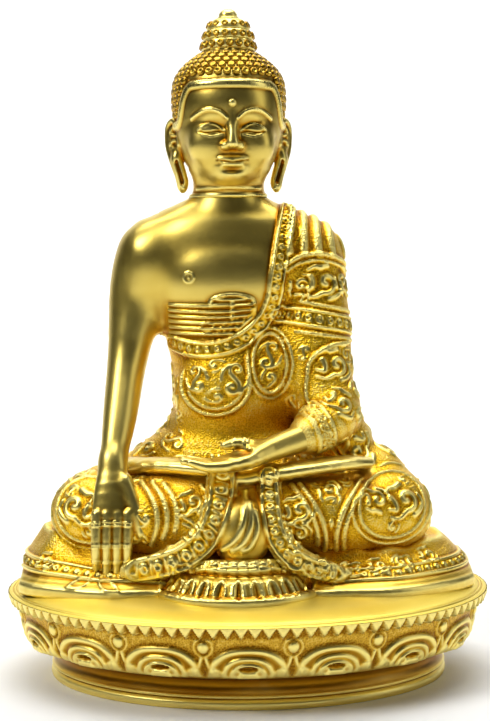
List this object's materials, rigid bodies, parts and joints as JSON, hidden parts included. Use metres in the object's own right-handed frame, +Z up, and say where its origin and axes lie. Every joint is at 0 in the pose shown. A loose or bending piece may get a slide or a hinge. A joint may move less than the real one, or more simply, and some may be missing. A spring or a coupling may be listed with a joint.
{
  "type": "buddha statue",
  "caption": "Seated gilt copper Buddha on an oval lotus pedestal, one hand touching the earth and one in the lap, cast in parts that pin together and sealed from below.",
  "frame": {"origin": "middle of the pedestal's foot, on the surface that the statue stands on", "axes": "+Z up, the figure faces -Y, +X towards the figure's own left hand"},
  "size_m": [0.152, 0.12, 0.21],
  "materials": {
    "gilt": "fire-gilt copper: satin on skin and deck, bright on raised ornament, darker in recesses",
    "copper": "bare copper, lightly tarnished",
    "stake_wood": "red-painted wood",
    "roll_paper": "rolled printed paper, matt"
  },
  "bodies": {
    "root": {"lotus_pedestal": "gilt", "figure_body": "gilt", "head": "gilt", "crown_jewel": "gilt", "right_arm": "gilt", "left_hand": "gilt", "neck_pin": "copper", "shoulder_pin": "copper", "wrist_pin": "copper", "tang_wedges": "copper", "base_plate": "copper", "plate_rivets": "copper", "life_tree": "stake_wood", "mantra_rolls": "roll_paper"}
  },
  "joints": []
}
